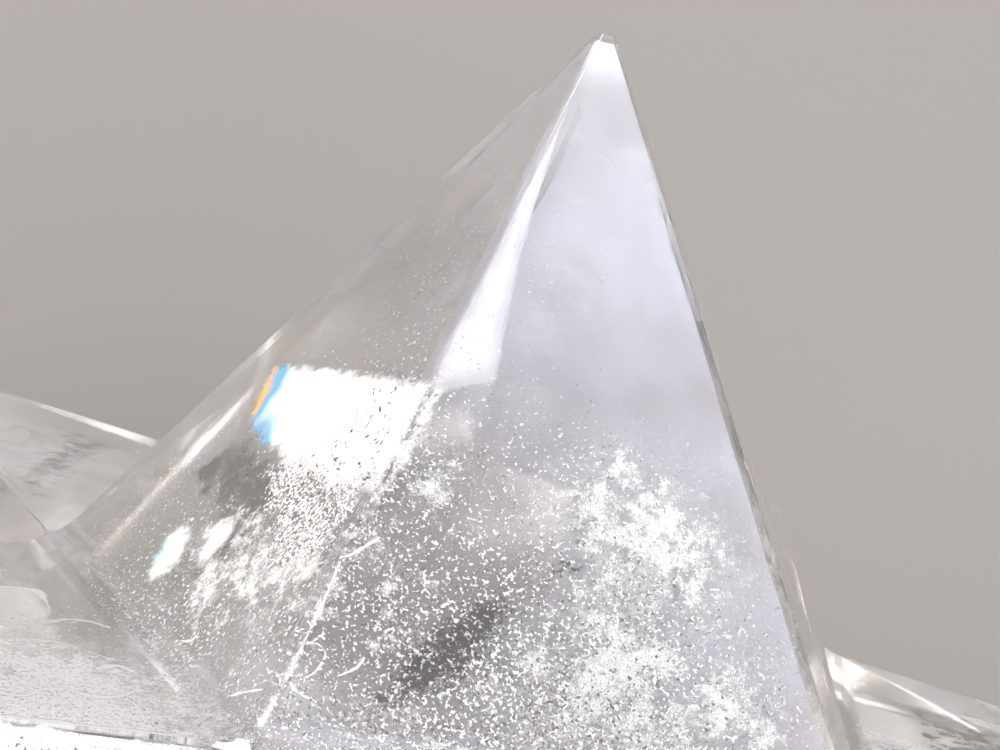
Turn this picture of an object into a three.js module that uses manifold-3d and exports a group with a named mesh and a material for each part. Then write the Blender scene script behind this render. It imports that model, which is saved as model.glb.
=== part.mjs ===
// A palm-sized star with twelve five-sided points, ground from one piece of clear quartz.
// Every point stands on a face of one regular dodecahedron, so three points meet at each of
// its corners. Three of the points carry the star on a table.
// Millimetres, +Z up, origin on the table in the middle of the star's bounding box.

import * as THREE from 'three';
import { ConvexGeometry } from 'three/addons/geometries/ConvexGeometry.js';
import { mergeVertices } from 'three/addons/utils/BufferGeometryUtils.js';
import Module from 'manifold-3d';

// Driving dimensions
const span = 76; // from one sharp tip to the opposite one
const short_share = 0.86; // height of the point that was cut short, as a share of the others'
const short_azimuth = 60; // degrees round +Z from +X to that point, one of the three on top
const height_spread = 0.007; // how far the other free points vary in height, as a share
const valley_reach = 0.55; // how far up each ridge the ground-out valley floor comes
const tip_cut = 0.42; // how much of each sharp tip is rubbed off, along the point's axis
const standing_cut = 0.36; // how much lower the three standing tips were before they wore flat
const root_share = 0.5; // where a point's own solid ends inside the core, as a share of its radius

// Chips are shallow scoops out of the ridges. A ridge's number counts round the point from its
// topmost ridge, and a chip lies a share of the way up it.
const short_point_chips = [
  { ridge: 0, up_ridge: 0.12, radius: 1.1, bite: 0.07 },
  { ridge: 0, up_ridge: 0.25, radius: 0.8, bite: 0.05 },
  { ridge: 1, up_ridge: 0.21, radius: 0.8, bite: 0.05 },
  { ridge: 1, up_ridge: 0.28, radius: 1.3, bite: 0.08 },
  { ridge: 1, up_ridge: 0.40, radius: 0.7, bite: 0.04 },
  { ridge: 1, up_ridge: 0.72, radius: 0.7, bite: 0.05 },
  { ridge: 2, up_ridge: 0.10, radius: 0.9, bite: 0.05 },
  { ridge: 2, up_ridge: 0.36, radius: 0.7, bite: 0.05 },
];
const other_chips_per_point = 5;
const chip_seed = 11;
const chip_radius = { least: 0.7, most: 1.9 };
const chip_bite = { least: 0.04, most: 0.14 };
const chip_detail = 3;

const wasm = await Module();
wasm.setup();

const golden = (1 + Math.sqrt(5)) / 2;
const up = new THREE.Vector3(0, 0, 1);

// A repeatable row of numbers from 0 to 1
function number_row(seed) {
  let state = seed;
  return () => {
    state = (state * 1664525 + 1013904223) % 4294967296;
    return state / 4294967296;
  };
}

// Turns the regular solid so that one of its corners is on top and one side point faces +X
function standing_turn() {
  const onto_corner = new THREE.Quaternion();
  onto_corner.setFromUnitVectors(new THREE.Vector3(1, 1, 1).normalize(), up);
  const side_point = new THREE.Vector3(golden, -1, 0).applyQuaternion(onto_corner);
  const about_up = new THREE.Quaternion();
  about_up.setFromAxisAngle(up, -Math.atan2(side_point.y, side_point.x));
  return about_up.multiply(onto_corner);
}

// The twenty corners where three points meet
function core_corners(unit, turn) {
  const solid = new THREE.DodecahedronGeometry(unit * Math.sqrt(3));
  solid.deleteAttribute('normal');
  solid.deleteAttribute('uv');
  const places = mergeVertices(solid).getAttribute('position');
  const corners = [];
  for (let i = 0; i < places.count; i++) {
    corners.push(new THREE.Vector3().fromBufferAttribute(places, i).applyQuaternion(turn));
  }
  return corners;
}

// The twelve sharp tips of the regular star
function regular_tips(unit, turn) {
  const tips = [];
  for (const a of [-1, 1]) {
    for (const b of [-golden, golden]) {
      tips.push(new THREE.Vector3(a, 0, b), new THREE.Vector3(0, b, a), new THREE.Vector3(b, a, 0));
    }
  }
  return tips.map((tip) => tip.multiplyScalar(unit * golden).applyQuaternion(turn));
}

function azimuth_of(place) {
  return THREE.MathUtils.radToDeg(Math.atan2(place.y, place.x));
}

function is_standing(tip) {
  return tip.z < -tip.length() / 2;
}

function is_short(tip) {
  return tip.z > tip.length() / 2 && Math.abs(azimuth_of(tip) - short_azimuth) < 1;
}

// A point's height beside the regular one: one is cut short, the standing three are true
function height_share(tip, index) {
  if (is_standing(tip)) {
    return 1;
  }
  if (is_short(tip)) {
    return short_share;
  }
  return 1 - height_spread * (1 + Math.sin(golden * golden * index));
}

// The five corners round a point's base, counted round its axis from the topmost one
function base_corners(tip, corners) {
  const axis = tip.clone().normalize();
  const across = up.clone().addScaledVector(axis, -up.dot(axis)).normalize();
  const onward = axis.clone().cross(across);
  const turn_of = (corner) => {
    const turn = Math.atan2(corner.dot(onward), corner.dot(across));
    return turn > -Math.PI / 5 ? turn : turn + 2 * Math.PI;
  };
  const near = [...corners].sort((p, q) => p.distanceTo(tip) - q.distanceTo(tip)).slice(0, 5);
  return near.sort((p, q) => turn_of(p) - turn_of(q));
}

// One point of the star: its axis, its tip, and the feet of its five ridges
function star_point(regular_tip, index, corners) {
  const base = base_corners(regular_tip, corners);
  const middle = base.reduce((sum, corner) => sum.add(corner), new THREE.Vector3());
  middle.divideScalar(base.length);
  const tip = middle.clone().lerp(regular_tip, height_share(regular_tip, index));
  const axis = tip.clone().normalize();
  const feet = base.map((corner) => {
    const along_ridge = tip.clone().sub(corner).normalize();
    return corner.clone().addScaledVector(along_ridge, valley_reach);
  });
  return { axis, middle, tip, feet, short: is_short(regular_tip) };
}

// The point's own solid: five ridges from the valley floors to the rubbed tip
function point_solid(point) {
  const height = point.tip.distanceTo(point.middle);
  const rubbed = point.feet.map((foot) => point.tip.clone().lerp(foot, tip_cut / height));
  const root = point.middle.clone().multiplyScalar(root_share);
  return closed_solid(new ConvexGeometry([...point.feet, ...rubbed, root]));
}

// The ball that takes one chip out of a ridge
function chip_solid(point, { ridge, up_ridge, radius, bite }) {
  const foot = point.feet[ridge];
  const ridge_place = foot.clone().lerp(point.tip, up_ridge);
  const outward = ridge_place.clone().sub(point.middle);
  outward.addScaledVector(point.axis, -outward.dot(point.axis));
  const ridge_line = point.tip.clone().sub(foot).normalize();
  outward.addScaledVector(ridge_line, -outward.dot(ridge_line)).normalize();
  const ball = new THREE.IcosahedronGeometry(radius, chip_detail);
  ball.translate(...ridge_place.addScaledVector(outward, radius - bite).toArray());
  return closed_solid(ball);
}

// Chips for a point, most of them small
function scattered_chips(next_number, ridge_count) {
  const between = (range) => range.least + next_number() ** 2 * (range.most - range.least);
  return Array.from({ length: other_chips_per_point }, () => ({
    ridge: Math.floor(next_number() * ridge_count),
    up_ridge: next_number(),
    radius: between(chip_radius),
    bite: between(chip_bite),
  }));
}

// What the table wore off the three lowest tips
function table_solid(floor) {
  const side = 2 * span;
  const slab = new THREE.BoxGeometry(side, side, span);
  slab.translate(0, 0, floor - span / 2);
  return closed_solid(slab);
}

function closed_solid(geometry) {
  geometry.deleteAttribute('normal');
  geometry.deleteAttribute('uv');
  const merged = mergeVertices(geometry);
  return new wasm.Manifold(new wasm.Mesh({
    numProp: 3,
    vertProperties: merged.getAttribute('position').array,
    triVerts: merged.getIndex().array,
  }));
}

function geometry_of(solid) {
  const mesh = solid.getMesh();
  const geometry = new THREE.BufferGeometry();
  geometry.setAttribute('position', new THREE.BufferAttribute(mesh.vertProperties, mesh.numProp));
  geometry.setIndex(new THREE.BufferAttribute(mesh.triVerts, 1));
  return geometry;
}

function crystal_star() {
  const unit = span / (2 * golden * Math.hypot(1, golden));
  const turn = standing_turn();
  const corners = core_corners(unit, turn);
  const points = regular_tips(unit, turn).map((tip, index) => star_point(tip, index, corners));

  let star = closed_solid(new ConvexGeometry(points.flatMap((point) => point.feet)));
  for (const point of points) {
    star = star.add(point_solid(point));
  }

  const next_number = number_row(chip_seed);
  for (const point of points) {
    const chips = point.short ? short_point_chips : scattered_chips(next_number, point.feet.length);
    for (const chip of chips) {
      star = star.subtract(chip_solid(point, chip));
    }
  }

  const lowest_tip = Math.min(...points.map((point) => point.tip.z));
  star = star.subtract(table_solid(lowest_tip + standing_cut));

  const geometry = geometry_of(star);
  geometry.computeBoundingBox();
  const { min, max } = geometry.boundingBox;
  geometry.translate(-(min.x + max.x) / 2, -(min.y + max.y) / 2, -min.z);
  return geometry;
}

const clear_quartz = new THREE.MeshStandardMaterial({ color: '#d9d8de', roughness: 0.08, metalness: 0 });
const crystal = new THREE.Mesh(crystal_star(), clear_quartz);
crystal.name = 'crystal_star';

const star_group = new THREE.Group();
star_group.add(crystal);

export default star_group;
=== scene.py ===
# A twelve-pointed star of clear quartz on a pale table: its ground and chipped surface, and the
# veils, fractures, clouds and grains that show inside the stone.

import math

import bmesh
import bpy
from mathutils import Matrix, Quaternion, Vector, geometry, noise


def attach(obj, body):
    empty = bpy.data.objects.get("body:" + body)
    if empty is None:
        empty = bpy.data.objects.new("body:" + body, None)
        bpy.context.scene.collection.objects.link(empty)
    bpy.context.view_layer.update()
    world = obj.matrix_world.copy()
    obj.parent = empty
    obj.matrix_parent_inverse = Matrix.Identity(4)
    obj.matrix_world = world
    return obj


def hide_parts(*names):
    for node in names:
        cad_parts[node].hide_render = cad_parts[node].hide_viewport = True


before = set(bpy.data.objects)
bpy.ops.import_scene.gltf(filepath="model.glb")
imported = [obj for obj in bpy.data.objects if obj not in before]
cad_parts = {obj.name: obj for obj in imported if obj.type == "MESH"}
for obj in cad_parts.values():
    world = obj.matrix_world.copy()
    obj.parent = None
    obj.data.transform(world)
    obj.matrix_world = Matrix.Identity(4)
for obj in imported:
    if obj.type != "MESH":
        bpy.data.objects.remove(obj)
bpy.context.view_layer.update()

MM = 0.001
UP = Vector((0, 0, 1))
GOLDEN = (1 + math.sqrt(5)) / 2

# The star's own sizes, the same as its solid has: millimetres, degrees and shares
SPAN = 76
SIDES = 5
STEEP = 0.5  # the three points on top and the three standing ones are steeper than this
SHORT_SHARE = 0.86
SHORT_AZIMUTH = 60
HEIGHT_SPREAD = 0.007
VALLEY_REACH = 0.55
TIP_CUT = 0.42
STANDING_CUT = 0.36
SHORT_POINT_CHIPS = [
    {"ridge": 0, "up_ridge": 0.12, "radius": 1.1, "bite": 0.07},
    {"ridge": 0, "up_ridge": 0.25, "radius": 0.8, "bite": 0.05},
    {"ridge": 1, "up_ridge": 0.21, "radius": 0.8, "bite": 0.05},
    {"ridge": 1, "up_ridge": 0.28, "radius": 1.3, "bite": 0.08},
    {"ridge": 1, "up_ridge": 0.40, "radius": 0.7, "bite": 0.04},
    {"ridge": 1, "up_ridge": 0.72, "radius": 0.7, "bite": 0.05},
    {"ridge": 2, "up_ridge": 0.10, "radius": 0.9, "bite": 0.05},
    {"ridge": 2, "up_ridge": 0.36, "radius": 0.7, "bite": 0.05},
]
OTHER_CHIPS_PER_POINT = 5
CHIP_SEED = 11
CHIP_RADIUS = (0.7, 1.9)
CHIP_BITE = (0.04, 0.14)

# The finer finish that only shows close up, in millimetres
RIDGE_WEAR = 0.05
VALLEY_ROUND = 0.3
ROUND_STEPS = 3
RIPPLE_SPACING = 0.09
RIPPLE_DEPTH = 0.004
STRUCK_RIPPLES = 3  # how many ripples lie between a chip's middle and the blow that broke it
CHIP_BALL_DETAIL = 5

# The points that the photograph shows, by the azimuth and elevation they lean to, in degrees
FRONT_POINT = (SHORT_AZIMUTH, 53)
LEFT_POINT = (180, 53)
BEHIND_POINT = (120, 11)
RIGHT_POINT = (0, 11)

# How the layers lie in the stone: millimetres, and shares of a side
CLOUD_DEPTH = 1
CLOUDS_PER_POINT = 6
CRACK_DEPTH = 0.12
LEAST_THICKNESS = 0.05
LAYER_WIDTH = 0.98
VALLEY_OVERLAP = 0.06
VEIL_SEED = 5
NOISE_SPREAD = 40  # how far apart two sheets may start in the same noise
SHEET_CELL = 0.8

QUARTZ_IOR = 1.544

# The photograph's camera, from the star's middle in millimetres, and its turn in degrees
CAMERA_PLACE = (7.13, -24.38, 53.76)
CAMERA_AZIMUTH = 0.82
CAMERA_ELEVATION = 42.07
CAMERA_ROLL = -6.44
CAMERA_LENS = 63.8
SENSOR_WIDTH = 36

FLOOR_WIDTH = 4  # metres


def srgb(hex_code):
    """A hex colour as linear RGBA."""
    parts = [int(hex_code[i : i + 2], 16) / 255 for i in (1, 3, 5)]
    linear = [c / 12.92 if c <= 0.04045 else ((c + 0.055) / 1.055) ** 2.4 for c in parts]
    return (*linear, 1)


def direction(azimuth, elevation):
    """Which way these degrees point: azimuth round the upright from +X, elevation above level."""
    turn, lean = math.radians(azimuth), math.radians(elevation)
    return Vector((math.cos(turn) * math.cos(lean), math.sin(turn) * math.cos(lean), math.sin(lean)))


def linked(name, mesh):
    """A new object in the scene that holds this mesh."""
    piece = bpy.data.objects.new(name, mesh)
    bpy.context.scene.collection.objects.link(piece)
    return piece


def mesh_from(name, bm):
    """The mesh that was built up in bm, which ends here."""
    mesh = bpy.data.meshes.new(name)
    bm.to_mesh(mesh)
    bm.free()
    return mesh


def finish(piece):
    """Applies the piece's modifiers to its mesh."""
    shown = piece.evaluated_get(bpy.context.evaluated_depsgraph_get())
    mesh = bpy.data.meshes.new_from_object(shown)
    piece.modifiers.clear()
    piece.data = mesh


def add(tree, kind, inputs=None, **settings):
    """A node of this kind with its settings. An input takes a value or another node's output."""
    node = tree.nodes.new(kind)
    for name, value in settings.items():
        setattr(node, name, value)
    for socket, source in (inputs or {}).items():
        if isinstance(source, bpy.types.NodeSocket):
            tree.links.new(source, node.inputs[socket])
        else:
            node.inputs[socket].default_value = source
    return node


# The star's surface


def number_row(seed):
    """A repeatable row of numbers from 0 to 1, the same one that scatters the solid's chips."""
    state = seed
    while True:
        state = (state * 1664525 + 1013904223) % 4294967296
        yield state / 4294967296


def standing_turn():
    """Puts one corner of the regular solid on top and one side point towards +X."""
    onto_corner = Vector((1, 1, 1)).rotation_difference(UP)
    side_point = Vector((GOLDEN, -1, 0))
    side_point.rotate(onto_corner)
    about_up = Quaternion(UP, -math.atan2(side_point.y, side_point.x))
    return about_up @ onto_corner


def regular_corners(unit):
    """The twenty corners of the core, where three points meet."""
    near, far = 1 / GOLDEN, GOLDEN
    corners = [Vector((a, b, c)) for a in (-1, 1) for b in (-1, 1) for c in (-1, 1)]
    for a in (-near, near):
        for b in (-far, far):
            corners += [Vector((0, a, b)), Vector((a, b, 0)), Vector((b, 0, a))]
    return [corner * unit for corner in corners]


def regular_tips(unit):
    """The twelve sharp tips of the regular star."""
    tips = []
    for a in (-1, 1):
        for b in (-GOLDEN, GOLDEN):
            tips += [Vector((a, 0, b)), Vector((0, b, a)), Vector((b, a, 0))]
    return [tip * unit * GOLDEN for tip in tips]


class Point:
    """One point of the star: its axis, tip, base and the feet of its five ridges, in mm."""

    def __init__(self, regular_tip, index, corners):
        self.axis = regular_tip.normalized()
        steepness = regular_tip.z / regular_tip.length
        azimuth = math.degrees(math.atan2(regular_tip.y, regular_tip.x))
        self.short = steepness > STEEP and abs(azimuth - SHORT_AZIMUTH) < 1
        self.base = self.base_corners(regular_tip, corners)
        self.middle = sum(self.base, Vector()) / len(self.base)
        share = 1 - HEIGHT_SPREAD * (1 + math.sin(GOLDEN * GOLDEN * index))
        if steepness < -STEEP:
            share = 1
        if self.short:
            share = SHORT_SHARE
        self.tip = self.middle.lerp(regular_tip, share)
        self.height = (self.tip - self.middle).length
        self.feet = [c + (self.tip - c).normalized() * VALLEY_REACH for c in self.base]
        self.rubbed = [self.tip.lerp(foot, TIP_CUT / self.height) for foot in self.feet]

    def base_corners(self, tip, corners):
        """The base's corners, counted round the axis from the topmost one."""
        across = (UP - self.axis * UP.dot(self.axis)).normalized()
        onward = self.axis.cross(across)

        def turn_of(corner):
            turn = math.atan2(corner.dot(onward), corner.dot(across))
            return turn if turn > -math.pi / SIDES else turn + 2 * math.pi

        near = sorted(corners, key=lambda corner: (corner - tip).length)[:SIDES]
        return sorted(near, key=turn_of)


def star_points():
    """The star's twelve points. A unit is half the side of the cube that fits in the core."""
    unit = SPAN / (2 * GOLDEN * math.hypot(1, GOLDEN))
    turn = standing_turn()
    corners = regular_corners(unit)
    tips = regular_tips(unit)
    for place in corners + tips:
        place.rotate(turn)
    return [Point(tip, index, corners) for index, tip in enumerate(tips)]


def worn_star(points):
    """The star with sharp ridges and flat valley floors. Each edge's weight says how far it wore."""
    bm = bmesh.new()
    weight = bm.edges.layers.float.new("bevel_weight_edge")
    feet_at = {}
    strips = {}
    for point in points:
        feet = [bm.verts.new(foot) for foot in point.feet]
        rubbed = [bm.verts.new(place) for place in point.rubbed]
        corners = [tuple(round(c, 3) for c in corner) for corner in point.base]
        bm.faces.new(rubbed)
        for i, foot in enumerate(feet):
            onward = (i + 1) % len(feet)
            bm.faces.new((foot, feet[onward], rubbed[onward], rubbed[i]))
            bm.edges.get((foot, rubbed[i]))[weight] = RIDGE_WEAR / VALLEY_ROUND
            bm.edges.get((foot, feet[onward]))[weight] = 1
            feet_at.setdefault(corners[i], []).append(foot)
            strips[corners[i], corners[onward]] = (foot, feet[onward])
    for meeting in feet_at.values():
        bm.faces.new(meeting)
    for (here, there), (foot, onward) in strips.items():
        if here < there:
            other_foot, other_onward = strips[there, here]
            bm.faces.new((onward, foot, other_onward, other_foot))
    bmesh.ops.recalc_face_normals(bm, faces=bm.faces)
    return mesh_from("worn", bm)


def chip_rounds(points):
    """The chips in rounds of at most one to a point, so that no two of a round meet."""
    numbers = number_row(CHIP_SEED)
    chips = [SHORT_POINT_CHIPS if point.short else scattered_chips(numbers) for point in points]
    for turn in range(max(len(row) for row in chips)):
        yield [(point, row[turn]) for point, row in zip(points, chips) if turn < len(row)]


def chip_balls(chips):
    """The balls that scoop these chips out, rippled as broken quartz is."""
    bm = bmesh.new()
    for point, chip in chips:
        add_chip_ball(bm, point, chip)
    return mesh_from("chips", bm)


def scattered_chips(numbers):
    """Chips for a point, most of them small."""

    def between(least, most):
        return least + next(numbers) ** 2 * (most - least)

    return [
        {
            "ridge": int(next(numbers) * SIDES),
            "up_ridge": next(numbers),
            "radius": between(*CHIP_RADIUS),
            "bite": between(*CHIP_BITE),
        }
        for _ in range(OTHER_CHIPS_PER_POINT)
    ]


def add_chip_ball(bm, point, chip):
    """A ball that bites into a ridge. Its ripples spread from where the blow fell."""
    foot = point.feet[chip["ridge"]]
    place = foot.lerp(point.tip, chip["up_ridge"])
    ridge_line = (point.tip - foot).normalized()
    outward = place - point.middle
    outward -= point.axis * outward.dot(point.axis)
    outward = (outward - ridge_line * outward.dot(ridge_line)).normalized()
    middle = place + outward * (chip["radius"] - chip["bite"])
    made = bmesh.ops.create_icosphere(
        bm, subdivisions=CHIP_BALL_DETAIL, radius=chip["radius"], matrix=Matrix.Translation(middle)
    )
    struck = place + ridge_line * RIPPLE_SPACING * STRUCK_RIPPLES
    for vert in made["verts"]:
        wave = math.cos((vert.co - struck).length * 2 * math.pi / RIPPLE_SPACING)
        vert.co += (vert.co - middle).normalized() * RIPPLE_DEPTH * wave


def table_slab(points):
    """What the table wore off the three lowest tips."""
    bm = bmesh.new()
    floor_level = min(point.tip.z for point in points) + STANDING_CUT
    low = Matrix.Translation((0, 0, floor_level - SPAN / 2))
    bmesh.ops.create_cube(bm, size=1, matrix=low @ Matrix.Diagonal((2 * SPAN, 2 * SPAN, SPAN, 1)))
    return mesh_from("table_slab", bm)


def crystal_star(points):
    """The star's finished surface, and the matrix that brings millimetres to its place."""
    star = linked("crystal_star_surface", worn_star(points))
    rounding = star.modifiers.new("rounding", "BEVEL")
    rounding.limit_method = "WEIGHT"
    rounding.width = VALLEY_ROUND
    rounding.segments = ROUND_STEPS
    rounding.use_clamp_overlap = False
    finish(star)
    cutters = [chip_balls(chips) for chips in chip_rounds(points)]
    for mesh in (*cutters, table_slab(points)):
        tool = linked("tool", mesh)
        cut = star.modifiers.new("cut", "BOOLEAN")
        cut.object = tool
        cut.operation = "DIFFERENCE"
        cut.solver = "EXACT"
        finish(star)
        bpy.data.objects.remove(tool)
    return star, place_on_table(star.data)


def place_on_table(mesh):
    """Millimetres to metres, and the middle of the box's bottom to the origin, as the solid is."""
    places = [vert.co for vert in mesh.vertices]
    low = Vector([min(place[i] for place in places) for i in range(3)])
    high = Vector([max(place[i] for place in places) for i in range(3)])
    shift = Vector((-(low.x + high.x) / 2, -(low.y + high.y) / 2, -low.z))
    to_table = Matrix.Scale(MM, 4) @ Matrix.Translation(shift)
    mesh.transform(to_table)
    return to_table


# What shows inside the stone. A point's sides are numbered round it from its topmost ridge: of the
# front point, the photograph shows side 4 on the left, side 0 on the right and side 1 as a thin strip.


def mix(start, end, share):
    return start + (end - start) * share


def inside(point, side, across, up, depth):
    """A place in the stone in mm: across and up one side of a point, and this deep under it."""
    left = point.feet[side]
    right = point.feet[(side + 1) % SIDES]
    inward = (right - left).cross(point.tip - left).normalized()
    if inward.dot(point.middle - left) < 0:
        inward.negate()
    return left.lerp(right, across).lerp(point.tip, up) + inward * depth


def side_size(point, side):
    """A side's width at its foot and its height, in mm."""
    left, right = point.feet[side], point.feet[(side + 1) % SIDES]
    return (right - left).length, (point.tip - (left + right) / 2).length


def new_layers():
    """An empty mesh whose corners know how thick it lies there and how far they are from its fringe."""
    bm = bmesh.new()
    bm.verts.layers.float.new("thick")
    bm.verts.layers.float.new("fringe")
    return bm


def add_layer(bm, place, size, thickness, cell=0.3, fringe=lambda u, v: 1):
    """A thin layer. Place, thickness and fringe take two shares of it. Bare cells are left out."""
    thick, from_fringe = bm.verts.layers.float["thick"], bm.verts.layers.float["fringe"]
    columns, rows = (max(2, round(length / cell)) for length in size)
    amounts = [
        [thickness(i / columns, j / rows) for j in range(rows + 1)] for i in range(columns + 1)
    ]
    made = {}

    def corner(i, j):
        if (i, j) not in made:
            made[i, j] = bm.verts.new(place(i / columns, j / rows))
            made[i, j][thick] = amounts[i][j]
            made[i, j][from_fringe] = fringe(i / columns, j / rows)
        return made[i, j]

    for i in range(columns):
        for j in range(rows):
            spots = [(i, j), (i + 1, j), (i + 1, j + 1), (i, j + 1)]
            if max(amounts[k][m] for k, m in spots) > LEAST_THICKNESS:
                bm.faces.new([corner(k, m) for k, m in spots])


def cloud(point, side, across, up, reach, thick):
    """A round cloud under a side of a point. Its reach is in mm."""
    return {"middle": inside(point, side, across, up, CLOUD_DEPTH), "reach": reach, "thick": thick}


def clouded(place, clouds):
    """How thick all these clouds together are at a place."""
    return sum(
        spot["thick"] * math.exp(-((place - spot["middle"]).length / spot["reach"]) ** 2)
        for spot in clouds
    )


def add_clouded_layer(bm, point, side, depth, clouds, top=0.55, uneven=0.4, cell=0.3):
    """A layer under one side of a point and the valley below it, as thick as the clouds make it."""
    broad, fine = 2.5, 0.4

    def place(u, v):
        across, up = mix(0.5, u, LAYER_WIDTH), mix(-VALLEY_OVERLAP, top, v)
        flat = inside(point, side, across, up, depth)
        wave = noise.noise(flat / broad + UP * depth) + 0.12 * noise.noise(flat / fine)
        return inside(point, side, across, up, depth * (1 + uneven * wave))

    def thickness(u, v):
        return clouded(place(u, v), clouds)

    width, height = side_size(point, side)
    add_layer(bm, place, (width, height * top), thickness, cell)


def in_loop(x, y, loop):
    """Whether a spot lies inside an outline."""
    within = False
    for (x0, y0), (x1, y1) in zip(loop, loop[1:] + loop[:1]):
        if (y0 > y) != (y1 > y) and x < x0 + (y - y0) / (y1 - y0) * (x1 - x0):
            within = not within
    return within


def depth_in_loop(spot, loop):
    """How far a spot lies inside an outline; 0 outside it."""
    if not in_loop(spot[0], spot[1], loop):
        return 0
    spot = Vector(spot)
    nearest = math.inf
    for start, end in zip(loop, loop[1:] + loop[:1]):
        foot, share = geometry.intersect_point_line(spot, Vector(start), Vector(end))
        foot = Vector(start).lerp(Vector(end), min(1, max(0, share)))
        nearest = min(nearest, (spot - foot.to_2d()).length)
    return nearest


def add_patch(bm, point, side, depth, loop, thick, ragged=0.25, fade=0.4, cell=0.12, fringe=None):
    """A layer under one side of a point. Its outline is given as (across, up) spots; how ragged
    that is and how far in it fades are in mm."""
    fringe = fringe or (lambda across, up: 1)
    margin, wave_length, notch = 0.01, 1.5, 0.5
    lows = [min(spot[i] for spot in loop) - margin for i in (0, 1)]
    highs = [max(spot[i] for spot in loop) + margin for i in (0, 1)]
    width, height = side_size(point, side)
    size = (width * (highs[0] - lows[0]), height * (highs[1] - lows[1]))

    def place(u, v):
        across, up = mix(lows[0], highs[0], u), mix(lows[1], highs[1], v)
        flat = inside(point, side, across, up, depth)
        wave = 0.2 * noise.noise(flat / wave_length)
        return inside(point, side, across, up, depth * (1 + wave))

    flat_loop = [(across * width, up * height) for across, up in loop]

    def thickness(u, v):
        across, up = mix(lows[0], highs[0], u), mix(lows[1], highs[1], v)
        edge = ragged * noise.noise(inside(point, side, across, up, depth) / notch)
        within = depth_in_loop((across * width + edge, up * height + edge), flat_loop)
        return thick * min(1, within / fade)

    def share_of_fringe(u, v):
        return fringe(mix(lows[0], highs[0], u), mix(lows[1], highs[1], v))

    add_layer(bm, place, size, thickness, cell, share_of_fringe)


def smooth_path(places, steps=10):
    """Places along a smooth curve through these ones."""
    padded = [places[0], *places, places[-1]]
    for a, b, c, d in zip(padded, padded[1:], padded[2:], padded[3:]):
        for i in range(steps):
            t = i / steps
            bend = (2 * a - 5 * b + 4 * c - d) * t * t + (3 * b - a - 3 * c + d) * t**3
            yield (2 * b + (c - a) * t + bend) / 2
    yield places[-1]


def add_crack(bm, point, side, width, thick, spots):
    """The bright line of a crack under one side of a point, thinning out at both ends."""
    level, from_fringe = bm.verts.layers.float["thick"], bm.verts.layers.float["fringe"]
    inward = inside(point, side, 0.5, 0.5, 1) - inside(point, side, 0.5, 0.5, 0)
    places = [inside(point, side, across, up, CRACK_DEPTH) for across, up in spots]
    path = list(smooth_path(places))
    before = None
    for i, place in enumerate(path):
        onward = path[min(i + 1, len(path) - 1)] - path[max(i - 1, 0)]
        aside = onward.cross(inward).normalized()
        share = i / (len(path) - 1)
        uneven = 1 + 0.6 * noise.noise(place / 0.3)
        reach = aside * width / 2 * uneven * math.sin(math.pi * mix(0.06, 0.94, share)) ** 0.6
        row = [bm.verts.new(place - reach), bm.verts.new(place), bm.verts.new(place + reach)]
        for vert, amount in zip(row, (0.2, thick, 0.2)):
            vert[level] = amount
            vert[from_fringe] = 1
        if before:
            bm.faces.new((before[0], before[1], row[1], row[0]))
            bm.faces.new((before[1], before[2], row[2], row[1]))
        before = row


def piece_in_stone(name, layers, to_table, material, slot):
    """Layers as a piece of their own in the stone, which moves with it."""
    mesh = mesh_from(name, layers)
    mesh.transform(to_table)
    mesh.materials.append(material)
    piece = linked(name, mesh)
    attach(piece, "root")


def front_clouds(point):
    """The clouds low in the photographed point, by where they lie under its sides."""
    return [
        cloud(point, 0, 0.62, 0.32, 2.0, 0.50),
        cloud(point, 0, 0.80, 0.27, 1.4, 0.35),
        cloud(point, 0, 0.83, 0.07, 1.8, 0.50),
        cloud(point, 0, 0.60, 0.10, 1.8, 0.45),
        cloud(point, 0, 0.17, 0.32, 1.5, 0.30),
        cloud(point, 0, 0.30, 0.01, 1.6, 0.25),
        cloud(point, 0, 0.50, 0.12, 5.5, 0.24),
        cloud(point, 4, 0.62, 0.12, 2.0, 0.30),
        cloud(point, 4, 0.90, 0.17, 2.0, 0.35),
        cloud(point, 4, 0.60, 0.05, 5.0, 0.22),
    ]


def front_crumbs(point):
    """White crumbs in the clouds of the photographed point."""
    clouds = front_clouds(point)
    bm = new_layers()
    for side, depth in ((0, 0.3), (0, 1.2), (4, 0.3)):
        add_clouded_layer(bm, point, side, depth, clouds)
    return bm


def front_glitter(point):
    """The fine specks that fill the lower half of the point and eat into its large fracture."""
    fields = [
        cloud(point, 0, 0.50, -0.03, 7, 0.28),
        cloud(point, 0, 0.28, 0.10, 3, 0.12),
        cloud(point, 0, 0.62, 0.30, 2.5, 0.16),
        cloud(point, 0, 0.72, 0.08, 3.5, 0.14),
        cloud(point, 0, 0.03, 0.36, 2.5, 0.14),
        cloud(point, 4, 0.60, -0.03, 8, 0.28),
        cloud(point, 4, 0.75, 0.60, 4, 0.10),
    ]
    below_fracture = [
        (0.5, 0.26), (0.62, 0.29), (0.8, 0.29), (0.99, 0.34), (0.99, 0.2), (0.9, 0.14),
        (0.75, 0.13), (0.66, 0.18), (0.52, 0.22),
    ]
    bm = new_layers()
    for side, depth in ((0, 0.14), (0, 0.7), (4, 0.55)):
        add_clouded_layer(bm, point, side, depth, fields, top=0.8)
    add_patch(bm, point, 4, 0.12, below_fracture, 0.6, ragged=0.6, fade=0.8)
    return bm


def left_glitter(point):
    """The fine specks low in the left neighbour."""
    fields = [cloud(point, 0, 0.30, 0.05, 8, 0.13), cloud(point, 4, 0.80, 0.05, 7, 0.24)]
    bm = new_layers()
    for side in (0, 4):
        add_clouded_layer(bm, point, side, 0.14, fields)
    return bm


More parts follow.
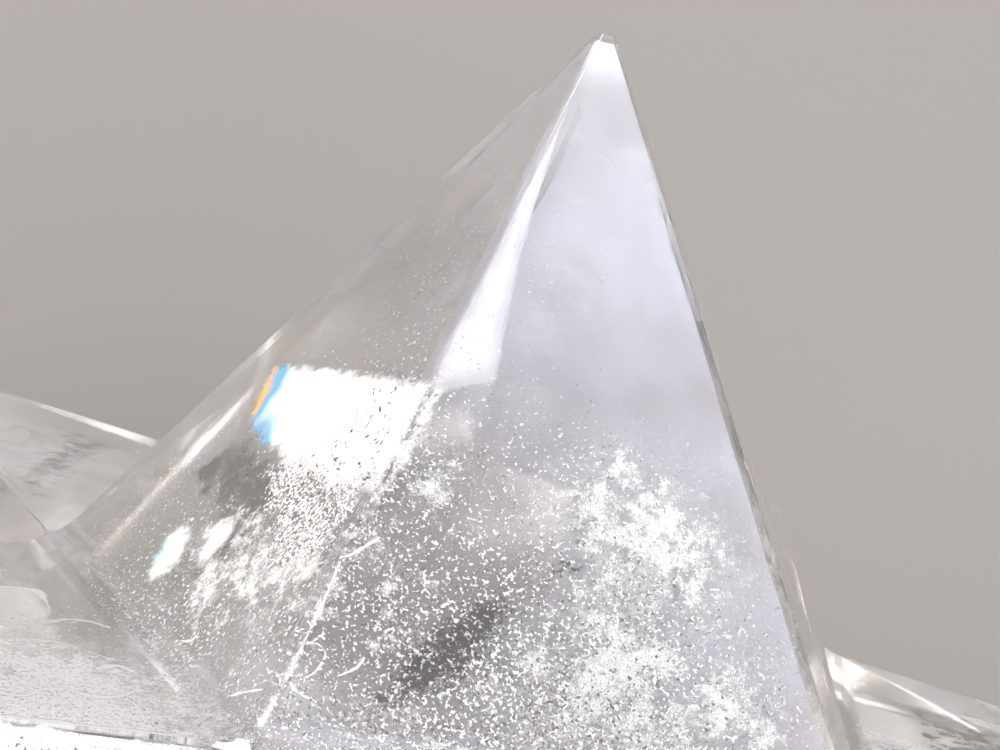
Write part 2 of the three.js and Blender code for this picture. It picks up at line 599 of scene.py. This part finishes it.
def left_crumbs(point):
    """The crumbs low under the two sides of the left neighbour that the photograph shows."""
    clouds = [
        cloud(point, 0, 0.25, 0.10, 1.6, 0.30),
        cloud(point, 0, 0.45, 0.20, 2.0, 0.22),
        cloud(point, 0, 0.10, 0.25, 2.0, 0.30),
        cloud(point, 0, 0.35, 0.12, 6.0, 0.10),
        cloud(point, 4, 0.92, 0.15, 4.0, 0.65),
        cloud(point, 4, 0.70, 0.05, 6.0, 0.35),
    ]
    bm = new_layers()
    for depth in (0.15, 0.8):
        for side in (0, 4):
            add_clouded_layer(bm, point, side, depth, clouds)
    return bm


def front_veils_and_painted_light(point):
    """White sheets: a milky veil in the tip that also paints the sheen there, a painted highlight
    beside its brightest ridge, and milky veils round the clouds.
    """
    tip = [cloud(point, 0, 0.5, 1, 3.2, 1)]
    lower = front_clouds(point)
    painted_highlight_beside_ridge = [(0.02, 0.96), (0.22, 0.45), (0.012, 0.42)]
    bm = new_layers()
    # A milky veil in the tip, which also serves as painted sheen on the upper part of side 0
    add_clouded_layer(bm, point, 0, 0.3, tip, top=0.97)
    # A painted highlight: the bright band beside the ridge, in two layers
    for depth in (0.15, 0.3):
        add_patch(bm, point, 0, depth, painted_highlight_beside_ridge, 1, ragged=0.1, fade=0.9)
    for side in (0, 4):
        add_clouded_layer(bm, point, side, 2.5, lower, top=0.7)
    return bm


def side_haze(bm, point, side, thick):
    """The even haze under one side, thickest in its upper part."""
    haze = [cloud(point, side, 0.5, 0.75, 7, thick), cloud(point, side, 0.7, 0.15, 9, 0.75 * thick)]
    add_clouded_layer(bm, point, side, 0.6, haze, top=0.97, uneven=0.2)
    return bm


def haze_with_painted_sheen(point):
    """Haze under the right side of the photographed point, tinted pale bluish grey as painted sheen."""
    return side_haze(new_layers(), point, 0, 0.7)


def haze_with_painted_shade(point):
    """Haze as painted shade under the left side, and a smaller one low under the right side."""
    bm = side_haze(new_layers(), point, 4, 0.7)
    low = [cloud(point, 0, 0.16, 0.22, 3.5, 0.4)]
    add_clouded_layer(bm, point, 0, 0.45, low, uneven=0.2)
    return bm


def front_films(point):
    """The bright fractures that show through sides 4 and 0 of the photographed point."""
    large = [
        (0.14, 0.368), (0.52, 0.41), (1, 0.447), (1, 0.29), (0.95, 0.272), (0.82, 0.25),
        (0.725, 0.255), (0.674, 0.236), (0.56, 0.241), (0.51, 0.262), (0.42, 0.25),
        (0.3, 0.262), (0.2, 0.3),
    ]
    left_small = [
        (0.416, 0.018), (0.364, 0.045), (0.344, 0.092), (0.377, 0.132), (0.448, 0.119),
        (0.495, 0.082), (0.46, 0.023),
    ]
    right_small = [
        (0.451, 0.128), (0.53, 0.183), (0.576, 0.177), (0.592, 0.13), (0.578, 0.072), (0.512, 0.086),
    ]
    over_ridge = [(0.008, 0.46), (0.1, 0.44), (0.08, 0.37), (0.06, 0.3), (0.03, 0.22), (0.008, 0.24)]
    bm = new_layers()

    # How far in from the coloured end a spot lies, as a share of the band of colours
    def from_left_end(across, up):
        return (across - mix(0.3, 0.14, (up - 0.26) / 0.11)) / 0.36

    def from_left(across, up):
        return (across - 0.33) / 0.16

    def from_right(across, up):
        return (0.66 - across) / 0.2

    for side, depth, loop, thick, ragged, fade, fringe in (
        (4, 0.25, large, 1.3, 0.1, 0.6, from_left_end),
        (4, 0.16, left_small, 1.3, 0.1, 0.8, from_left),
        (4, 0.16, right_small, 1.3, 0.1, 0.8, from_right),
        (0, 0.16, over_ridge, 1.8, 0.2, 1.2, None),
    ):
        add_patch(bm, point, side, depth, loop, thick, ragged, fade, cell=0.08, fringe=fringe)
    return bm


def film_holes(point):
    """Where the large fracture has small gaps, which get painted shade."""
    bm = new_layers()
    holed = [(0.75, 0.42), (0.98, 0.42), (0.98, 0.28), (0.9, 0.22), (0.62, 0.26)]
    add_patch(bm, point, 4, 0.16, holed, 1, cell=0.3)
    return bm


def low_cracks(front, left):
    """Cracks low in the photographed point and along the sides of its left neighbour."""
    bm = new_layers()
    for point, side, width, thick, spots in (
        (front, 0, 0.16, 0.8, [(0.015, 0.2), (0.02, 0.14), (0.02, 0.07)]),
        (front, 0, 0.34, 0.6, [(0.022, 0.1), (0.02, 0.03), (0.015, -0.02)]),
        (front, 0, 0.16, 0.8, [(0.012, 0.205), (0.03, 0.21), (0.07, 0.235)]),
        (front, 0, 0.1, 0.8, [
            (0.04, 0.055), (0.061, 0.067), (0.066, 0.088), (0.044, 0.1), (0.018, 0.098),
        ]),
        (front, 0, 0.12, 0.8, [(0.1, 0.066), (0.125, 0.078), (0.133, 0.092)]),
        (front, 0, 0.13, 0.8, [(0.025, 0.055), (0.05, 0.042), (0.086, 0.034)]),
        (front, 4, 0.15, 0.8, [(0.9, 0.004), (0.93, 0.018), (0.98, 0.036)]),
        (front, 4, 0.1, 0.8, [(0.66, 0.006), (0.69, 0.015), (0.7, 0.03)]),
        (left, 0, 0.4, 1, [(0.79, 0.2), (0.74, 0.12), (0.71, 0.07), (0.69, 0.055), (0.6, 0.058)]),
        (left, 0, 0.32, 1, [(0.515, 0.08), (0.54, 0.05), (0.53, 0.022), (0.5, 0.004)]),
        (left, 0, 0.12, 0.8, [(0.4, 0.1), (0.385, 0.06), (0.34, 0.028), (0.36, 0.004)]),
        (left, 0, 0.1, 0.8, [(0.43, 0.13), (0.42, 0.08), (0.37, 0.05)]),
        (left, 0, 0.35, 1, [(0.21, 0.118), (0.165, 0.093), (0.163, 0.065), (0.21, 0.03)]),
        (left, 0, 0.4, 1, [(0.29, 0.06), (0.315, 0.034), (0.29, 0.02)]),
        (left, 0, 0.3, 1, [(0.16, 0.2), (0.13, 0.166), (0.15, 0.145)]),
        (left, 0, 0.4, 1, [(0.02, 0.3), (0.018, 0.15), (0.02, 0.03)]),
        (left, 4, 0.5, 1, [(0.975, 0.33), (0.98, 0.15), (0.975, 0.0)]),
        (left, 0, 0.2, 0.8, [(0.56, 0.2), (0.5, 0.15), (0.49, 0.11)]),
    ):
        add_crack(bm, point, side, width, thick, spots)
    return bm


def front_grains(point):
    """The dark grainy lens in the photographed point, and the small one beside it."""
    bm = new_layers()
    lens = [
        (0.17, 0.03), (0.17, 0.09), (0.2, 0.13), (0.3, 0.19), (0.39, 0.22), (0.38, 0.14),
        (0.33, 0.07), (0.26, 0.04),
    ]
    speck = [(0.41, 0.20), (0.47, 0.25), (0.55, 0.24), (0.48, 0.205)]
    for depth in (0.08, 0.3):
        add_patch(bm, point, 0, depth, lens, 0.5, ragged=0.6, fade=0.7)
        add_patch(bm, point, 0, depth, speck, 0.45, ragged=0.5, fade=0.4)
    return bm


def dark_patches_and_painted_shade(front, behind, right):
    """Soft dark patches: mottled ones beside the grains and round the small fractures, and painted
    shade along the right edge and in the two points behind."""
    bm = new_layers()
    beside_grains = [(0.23, 0.12), (0.32, 0.19), (0.39, 0.215), (0.37, 0.16), (0.28, 0.11)]
    dapples = [
        (0.2, 0.166), (0.247, 0.232), (0.335, 0.267), (0.572, 0.243), (0.656, 0.213),
        (0.6, 0.12), (0.56, 0.05), (0.5, 0.03), (0.5, 0.12), (0.413, 0.161),
    ]
    inner = [(0.02, 0.1), (0.02, 0.3), (0.3, 0.46), (0.75, 0.55), (0.8, 0.42), (0.4, 0.3)]
    painted_shade_right = [(0.1, 0.03), (0.1, 0.3), (0.4, 0.4), (0.7, 0.2), (0.6, 0.03)]
    painted_shade_by_edge = [(0.03, 0.02), (0.05, 0.9), (0.3, 0.85), (0.5, 0.4), (0.5, 0.02)]
    add_patch(bm, front, 0, 0.5, beside_grains, 1, ragged=0.5, fade=0.8)
    add_patch(bm, front, 4, 0.45, dapples, 0.68, ragged=0.6, fade=0.5)
    # Painted shade along the thin right side
    add_patch(bm, front, 1, 0.4, painted_shade_by_edge, 0.7, ragged=0.5, fade=3, cell=0.3)
    # Painted shade in the two points behind
    add_patch(bm, behind, 0, 1.0, inner, 0.75, ragged=1, fade=2.5, cell=0.4)
    add_patch(bm, right, 4, 1.0, painted_shade_right, 0.65, ragged=1, fade=2.5, cell=0.4)
    return bm


def scattered_clouds(point, numbers):
    """A few clouds low under the sides of a point."""
    return [
        cloud(
            point, int(next(numbers) * SIDES), mix(0.2, 0.8, next(numbers)), 0.4 * next(numbers) ** 2,
            mix(1.5, 4.5, next(numbers)), mix(0.25, 0.5, next(numbers)),
        )
        for _ in range(CLOUDS_PER_POINT)
    ]


def other_crumbs(points, numbers):
    """White crumbs in scattered clouds under every side of these points."""
    bm = new_layers()
    for point in points:
        clouds = scattered_clouds(point, numbers)
        depth = mix(0.3, 1.0, next(numbers))
        for side in range(SIDES):
            add_clouded_layer(bm, point, side, depth, clouds, cell=0.55)
    return bm


def add_axial_sheet(bm, point, numbers):
    """A soft sheet up the middle of a point, from its base."""
    toward = (point.feet[int(next(numbers) * SIDES)] - point.middle).normalized()
    shift = UP * next(numbers) * NOISE_SPREAD
    reach, aside = mix(0.45, 0.7, next(numbers)), mix(-1.5, 1.5, next(numbers))
    facing = point.axis.cross(toward)
    wide = 16

    def place(u, v):
        flat = point.middle.lerp(point.tip, v * reach) + toward * (u - 0.5) * wide * (1 - v * reach)
        return flat + facing * (aside + 1.5 * noise.noise(flat / 5 + shift)) * (1 - v * reach)

    def thickness(u, v):
        fade = min(1, 4 * u, 4 * (1 - u), 3 * (1 - v))
        return fade * (0.45 + 0.5 * noise.noise(place(u, v) / 4 + shift))

    add_layer(bm, place, (wide, point.height * reach), thickness, SHEET_CELL)


def add_core_sheet(bm, facing, aside, numbers):
    """A wide soft sheet through the core, where three veils cross."""
    shift = UP * next(numbers) * NOISE_SPREAD
    across = facing.orthogonal().normalized()
    along = facing.cross(across)
    wide = 26

    def place(u, v):
        flat = across * (u - 0.5) * wide + along * (v - 0.5) * wide
        return flat + facing * (aside + 2 * noise.noise(flat / 6 + shift))

    def thickness(u, v):
        fade = min(1, 3 * (1 - math.hypot(2 * u - 1, 2 * v - 1)))
        return fade * (0.5 + 0.6 * noise.noise(place(u, v) / 5 + shift))

    add_layer(bm, place, (wide, wide), thickness, SHEET_CELL)


def inner_veils(points, numbers):
    """Soft sheets of tiny bubbles up the middle of every point and across the core."""
    bm = new_layers()
    for point in points:
        add_axial_sheet(bm, point, numbers)
    for azimuth, tilt, aside in ((20, 15, 2), (140, -30, -3), (265, 50, 0)):
        add_core_sheet(bm, direction(azimuth, tilt), aside, numbers)
    return bm


def other_films(points, numbers):
    """A small bright fracture under a side of every one of these points."""
    bm = new_layers()
    corners = 9
    for point in points:
        side = int(next(numbers) * SIDES)
        middle = (mix(0.35, 0.65, next(numbers)), mix(0.1, 0.35, next(numbers)))
        wide, high = mix(0.08, 0.2, next(numbers)), mix(0.04, 0.1, next(numbers))
        loop = []
        for i in range(corners):
            turn, reach = math.tau * i / corners, mix(0.6, 1, next(numbers))
            loop.append((
                middle[0] + wide * reach * math.cos(turn), middle[1] + high * reach * math.sin(turn)
            ))
        depth = mix(0.4, 1.2, next(numbers))
        add_patch(
            bm, point, side, depth, loop, 0.85, cell=0.2,
            fringe=lambda across, up: (across - middle[0] + wide) / wide,
        )
    return bm


def flake_scatter():
    """A node group that scatters small flat flakes where a mesh is thick."""
    tree = bpy.data.node_groups.new("flake_scatter", "GeometryNodeTree")
    tree.interface.new_socket("Geometry", in_out="OUTPUT", socket_type="NodeSocketGeometry")
    for name, kind in (
        ("Geometry", "Geometry"), ("Density", "Float"), ("Least Size", "Float"),
        ("Most Size", "Float"), ("Seed", "Int"), ("Material", "Material"),
    ):
        tree.interface.new_socket(name, in_out="INPUT", socket_type="NodeSocket" + kind)
    given = add(tree, "NodeGroupInput").outputs
    thick = add(tree, "GeometryNodeInputNamedAttribute", {"Name": "thick"}, data_type="FLOAT")
    amount = add(
        tree, "ShaderNodeMath", {0: given["Density"], 1: thick.outputs["Attribute"]},
        operation="MULTIPLY",
    )
    spots = add(tree, "GeometryNodeDistributePointsOnFaces", {
        "Mesh": given["Geometry"], "Density": amount.outputs["Value"], "Seed": given["Seed"],
    })
    disc = add(tree, "GeometryNodeMeshCircle", {"Vertices": 5, "Radius": 1}, fill_type="NGON")
    flake = add(tree, "GeometryNodeTransform", {
        "Geometry": disc.outputs["Mesh"], "Scale": (1, 0.4, 1),
    })
    turn = add(
        tree, "FunctionNodeRandomValue", {"Max": (math.tau,) * 3, "Seed": given["Seed"]},
        data_type="FLOAT_VECTOR",
    )
    size = add(tree, "FunctionNodeRandomValue", {
        "Min": given["Least Size"], "Max": given["Most Size"], "Seed": given["Seed"],
    }, data_type="FLOAT")
    placed = add(tree, "GeometryNodeInstanceOnPoints", {
        "Points": spots.outputs["Points"], "Instance": flake.outputs["Geometry"],
        "Rotation": turn.outputs["Value"], "Scale": size.outputs["Value"],
    })
    real = add(tree, "GeometryNodeRealizeInstances", {"Geometry": placed.outputs["Instances"]})
    painted = add(tree, "GeometryNodeSetMaterial", {
        "Geometry": real.outputs["Geometry"], "Material": given["Material"],
    })
    add(tree, "NodeGroupOutput", {"Geometry": painted.outputs["Geometry"]})
    return tree


def flakes(name, bed, to_table, scatter, material, slot, density, sizes, seed):
    """Flakes lying about a bed of layers. Density is per square millimetre, sizes in mm."""
    mesh = mesh_from(name, bed)
    mesh.transform(to_table)
    piece = linked(name, mesh)
    strewn = piece.modifiers.new("flakes", "NODES")
    strewn.node_group = scatter
    values = {
        "Density": density / MM**2, "Least Size": sizes[0] * MM, "Most Size": sizes[1] * MM,
        "Seed": seed, "Material": material,
    }
    for socket in scatter.interface.items_tree:
        if socket.name in values:
            strewn[socket.identifier] = values[socket.name]
    finish(piece)
    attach(piece, "root")


# Materials


def new_material(name, **values):
    """A material with these values on its shader's own sockets."""
    material = bpy.data.materials.new(name)
    material.use_nodes = True
    shader = material.node_tree.nodes["Principled BSDF"]
    for socket, value in values.items():
        shader.inputs[socket.replace("_", " ")].default_value = value
    return material


def feed(material, socket, output, end="Principled BSDF"):
    """Links a node's output to the material's shader, or to its output node."""
    material.node_tree.links.new(output, material.node_tree.nodes[end].inputs[socket])


def clear_quartz():
    """Clear, faintly smoky stone with a fine-ground polish: soft-edged reflections, depths that
    blur a little, and a trace of milkiness."""
    material = new_material(
        "clear_quartz",
        Base_Color=srgb("#ffffff"),
        Roughness=0.1,
        IOR=QUARTZ_IOR,
        Transmission_Weight=0.97,
        Coat_Weight=1,
        Coat_Roughness=0.14,
        Coat_IOR=QUARTZ_IOR,
    )
    smoke = add(material.node_tree, "ShaderNodeVolumeAbsorption", {
        "Color": srgb("#aea49d"), "Density": 10,
    })
    feed(material, "Volume", smoke.outputs["Volume"], "Material Output")
    return material


def broken_by_noise(material, size, softness, detail, roughness=0.75):
    """Breaks a layer up into patches of about this size in mm, as its thickness allows, and fades
    it out where it is thinnest."""
    tree = material.node_tree
    where = add(tree, "ShaderNodeTexCoord")
    grain = add(tree, "ShaderNodeTexNoise", {
        "Vector": where.outputs["Object"], "Scale": 1 / (size * MM),
        "Detail": detail, "Roughness": roughness,
    })
    thick = add(tree, "ShaderNodeAttribute", attribute_name="thick").outputs["Fac"]
    total = add(
        tree, "ShaderNodeMath", {0: thick, 1: 0.5, 2: grain.outputs["Fac"]},
        operation="MULTIPLY_ADD",
    )
    shown = add(tree, "ShaderNodeMapRange", {
        "Value": total.outputs["Value"],
        "From Min": 0.75 - softness, "From Max": 0.75 + softness,
    }, interpolation_type="SMOOTHSTEP")
    fading = add(tree, "ShaderNodeMath", {0: thick, 1: 5}, operation="MULTIPLY", use_clamp=True)
    alpha = add(
        tree, "ShaderNodeMath", {0: shown.outputs["Result"], 1: fading.outputs["Value"]},
        operation="MULTIPLY",
    )
    feed(material, "Alpha", alpha.outputs["Value"])
    return material


def rainbow_fringe(material):
    """Interference colours where a fracture thins out at its fringe, white further in. The noise
    waves them over a millimetre or so."""
    tree = material.node_tree
    where = add(tree, "ShaderNodeTexCoord")
    wave = add(tree, "ShaderNodeTexNoise", {
        "Vector": where.outputs["Object"], "Scale": 1 / (1.2 * MM), "Detail": 1,
    })
    edge = add(tree, "ShaderNodeAttribute", attribute_name="fringe")
    shifted = add(
        tree, "ShaderNodeMath", {0: wave.outputs["Fac"], 1: 0.7, 2: edge.outputs["Fac"]},
        operation="MULTIPLY_ADD",
    )
    colours = add(tree, "ShaderNodeValToRGB", {"Fac": shifted.outputs["Value"]})
    stops = (
        (0.22, "#c98f5c"), (0.32, "#eed35a"), (0.40, "#eeb0cc"), (0.47, "#4fcdec"),
        (0.56, "#6fb0e6"), (0.66, "#d2f4f0"), (0.75, "#ffffff"),
    )
    ramp = colours.color_ramp.elements
    ramp[0].position, ramp[0].color = stops[0][0], srgb(stops[0][1])
    ramp[1].position, ramp[1].color = stops[-1][0], srgb(stops[-1][1])
    for place, colour in stops[1:-1]:
        ramp.new(place).color = srgb(colour)
    feed(material, "Base Color", colours.outputs["Color"])
    return material


def soft_veil(name, colour):
    """A haze of bubbles too small to see one by one: soft milky patches, a few millimetres wide. Its
    bluish copy carries painted sheen and its grey copy painted shade.
    """
    material = new_material(name, Base_Color=srgb(colour), Roughness=0.8)
    return broken_by_noise(material, 3.5, 0.55, detail=1)


def white_crumbs():
    """Clusters of bubbles along healed cracks: bright white crumbs with ragged edges."""
    material = new_material("white_crumbs", Base_Color=srgb("#ffffff"), Roughness=0.4)
    return broken_by_noise(material, 0.9, 0.1, detail=5, roughness=0.85)


def painted_glint_specks():
    """Fine specks with painted glints and painted shade: a noise makes some white and some dark,
    standing in for specks that catch the light or turn away. The real ones are finer: these are as
    coarse as they have to be to show."""
    material = new_material("painted_glint_specks", Roughness=0.4)
    tree = material.node_tree
    where = add(tree, "ShaderNodeTexCoord")
    grain = add(tree, "ShaderNodeTexNoise", {
        "Vector": where.outputs["Object"], "Scale": 1 / (0.09 * MM), "Detail": 0,
    })
    # Painted glints and painted shade: the noise makes some specks white and some dark
    colours = add(tree, "ShaderNodeValToRGB", {"Fac": grain.outputs["Fac"]})
    dark, white = colours.color_ramp.elements
    dark.position, dark.color = 0.37, srgb("#544f4c")
    white.position, white.color = 0.43, srgb("#ffffff")
    feed(material, "Base Color", colours.outputs["Color"])
    return broken_by_noise(material, 0.11, 0.08, detail=1)


def fracture_film():
    """A thin gap along a fracture: a bright white sheet, ragged, with a rainbow at its end."""
    material = new_material("fracture_film", Roughness=0.3)
    return rainbow_fringe(broken_by_noise(material, 0.5, 0.2, detail=4))


def dark_grains():
    """Mineral grains that the quartz grew over: small dark dots close together."""
    material = new_material("dark_grains", Base_Color=srgb("#3d3937"), Roughness=0.6)
    return broken_by_noise(material, 0.12, 0.06, detail=1)


def grey_veil_and_painted_shade():
    """Mottled dark places in the stone, and painted shade where the stone lies in shadow: a mottled
    grey.
    """
    material = new_material("grey_veil_and_painted_shade", Base_Color=srgb("#57524e"), Roughness=0.9)
    return broken_by_noise(material, 0.7, 0.2, detail=4)


def painted_shade_flake():
    """Painted shade in the gaps of a fracture, where the dark inside shows: small sharp dark spots."""
    return new_material("painted_shade_flake", Base_Color=srgb("#3d3937"), Roughness=0.5)


def glint():
    """Flat crack faces that mirror the light: sharp white sparks."""
    return new_material("glint", Base_Color=srgb("#ffffff"), Roughness=0.15, Metallic=0.5)


def floor_paper():
    """Plain matt paper: an even ground that the strong light turns pale."""
    return new_material("pale_paper", Base_Color=srgb("#716e6c"), Roughness=0.9)


# Setting


def camera(middle):
    """The photograph's view: close to the front point, looking down, and tilted a little."""
    lens = bpy.data.cameras.new("camera")
    lens.lens = CAMERA_LENS
    lens.sensor_width = SENSOR_WIDTH
    lens.clip_start = MM
    piece = bpy.data.objects.new("camera", lens)
    level = direction(CAMERA_AZIMUTH + 90, -CAMERA_ELEVATION).to_track_quat("-Z", "Y")
    piece.rotation_mode = "QUATERNION"
    piece.rotation_quaternion = level @ Quaternion((0, 0, 1), math.radians(CAMERA_ROLL))
    piece.location = middle + Vector(CAMERA_PLACE) * MM
    bpy.context.scene.collection.objects.link(piece)
    bpy.context.scene.camera = piece


def floor():
    """The plain floor that the star stands on, which is no part of it."""
    bpy.ops.mesh.primitive_plane_add(size=FLOOR_WIDTH)
    piece = bpy.context.object
    piece.name = "floor"
    piece.data.materials.append(floor_paper())


def soft_light(name, place, target, size, power, colour):
    """A soft box of this size at a place, turned to a target."""
    light = bpy.data.lights.new(name, "AREA")
    light.shape = "RECTANGLE"
    light.size, light.size_y = size
    light.energy = power
    light.color = srgb(colour)[:3]
    piece = bpy.data.objects.new(name, light)
    piece.location = place
    piece.rotation_mode = "QUATERNION"
    piece.rotation_quaternion = (Vector(target) - Vector(place)).to_track_quat("-Z", "Y")
    bpy.context.scene.collection.objects.link(piece)


def soft_sun(name, place, strength, spread, colour="#ffffff", mirrored=True):
    """Even soft light over the whole floor, from the direction of a place. Light that isn't
    mirrored shows through the stone and on the floor, but not as a white sheet on polished sides."""
    light = bpy.data.lights.new(name, "SUN")
    light.energy = strength
    light.angle = math.radians(spread)
    light.color = srgb(colour)[:3]
    piece = bpy.data.objects.new(name, light)
    piece.rotation_mode = "QUATERNION"
    piece.rotation_quaternion = Vector(place).to_track_quat("Z", "Y")
    piece.visible_glossy = mirrored
    bpy.context.scene.collection.objects.link(piece)


def pale_world(colour, strength):
    """The even light of a pale studio from all round."""
    world = bpy.data.worlds.new("studio")
    world.use_nodes = True
    background = world.node_tree.nodes["Background"]
    background.inputs["Color"].default_value = srgb(colour)
    background.inputs["Strength"].default_value = strength
    bpy.context.scene.world = world


def studio_light():
    """Light from the front, the left and the back. The front and left ones have a weaker twin that
    polished sides mirror, because they would mirror the full light as a white sheet."""
    front, left, back = (0.20, -0.50, 0.27), (-0.50, -0.06, 0.35), (-0.05, 0.55, 0.52)
    warm, cool = "#fff8f2", "#d6e2ff"
    pale_world("#eceae8", 0.5)
    soft_sun("key", front, 3.9, 47, mirrored=False)
    soft_sun("key_gloss", front, 1.5, 47)
    soft_sun("left", left, 4.5, 39, warm, mirrored=False)
    soft_sun("left_gloss", left, 1.2, 39, warm)
    soft_sun("back", back, 2.2, 40)
    soft_light("sheen", (0.42, 0.08, 0.57), (0, 0, 0.03), (0.25, 0.25), 0.25, cool)


def long_light_paths():
    """Light turns many times inside cut quartz before it comes out."""
    scene = bpy.context.scene
    scene.view_settings.view_transform = "Standard"
    scene.cycles.max_bounces = 16
    scene.cycles.glossy_bounces = 12
    scene.cycles.transmission_bounces = 16
    scene.cycles.transparent_max_bounces = 16


def point_towards(points, azimuth, elevation):
    """The point that leans this way, in degrees."""
    way = direction(azimuth, elevation)
    return max(points, key=lambda point: point.axis.dot(way))


points = star_points()
front = point_towards(points, *FRONT_POINT)
left = point_towards(points, *LEFT_POINT)
behind = point_towards(points, *BEHIND_POINT)
right = point_towards(points, *RIGHT_POINT)
others = [point for point in points if not point.short]

star, to_table = crystal_star(points)
star.data.materials.append(clear_quartz())
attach(star, "root")
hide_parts("crystal_star")

# The crumbs of the other points start from the same numbers as their glints, which lie among them
numbers = number_row(VEIL_SEED)
scatter = flake_scatter()
spark = glint()
for name, bed, material, slot, density, sizes, seed in (
    ("front_glints", front_crumbs(front), spark, "milky_veil", 14, (0.015, 0.05), 1),
    ("left_glints", left_crumbs(left), spark, "milky_veil", 10, (0.015, 0.05), 4),
    ("other_glints", other_crumbs(others, numbers), spark, "milky_veil", 2, (0.02, 0.08), 2),
    ("film_gaps", film_holes(front), painted_shade_flake(), "dark_grains", 14, (0.03, 0.12), 3),
):
    flakes(name, bed, to_table, scatter, material, slot, density, sizes, seed)

veil = soft_veil("milky_veil", "#f6f6fc")
# Painted sheen: the haze on the lit right side, tinted pale bluish grey
bluish = soft_veil("veil_with_painted_sheen", "#cacad7")
# Painted shade: the haze on the left side, tinted dark grey
greyish = soft_veil("veil_with_painted_shade", "#938c88")
specks = painted_glint_specks()
crumb = white_crumbs()
film = fracture_film()
for name, layers, material, slot in (
    ("front_veils_and_painted_light", front_veils_and_painted_light(front), veil, "milky_veil"),
    ("haze_with_painted_sheen", haze_with_painted_sheen(front), bluish, "milky_veil"),
    ("haze_with_painted_shade", haze_with_painted_shade(front), greyish, "milky_veil"),
    ("front_glitter", front_glitter(front), specks, "milky_veil"),
    ("left_glitter", left_glitter(left), specks, "milky_veil"),
    ("inner_veils", inner_veils(points, numbers), veil, "milky_veil"),
    ("front_crumbs", front_crumbs(front), crumb, "milky_veil"),
    ("left_crumbs", left_crumbs(left), crumb, "milky_veil"),
    ("other_crumbs", other_crumbs(others, number_row(VEIL_SEED)), crumb, "milky_veil"),
    ("front_films", front_films(front), film, "fracture_film"),
    ("cracks", low_cracks(front, left), crumb, "fracture_film"),
    ("other_films", other_films(others, numbers), film, "fracture_film"),
    ("front_grains", front_grains(front), dark_grains(), "dark_grains"),
    ("dark_patches_and_painted_shade", dark_patches_and_painted_shade(front, behind, right), grey_veil_and_painted_shade(), "dark_grains"),
):
    piece_in_stone(name, layers, to_table, material, slot)

camera(to_table @ Vector())
floor()
studio_light()
long_light_paths()
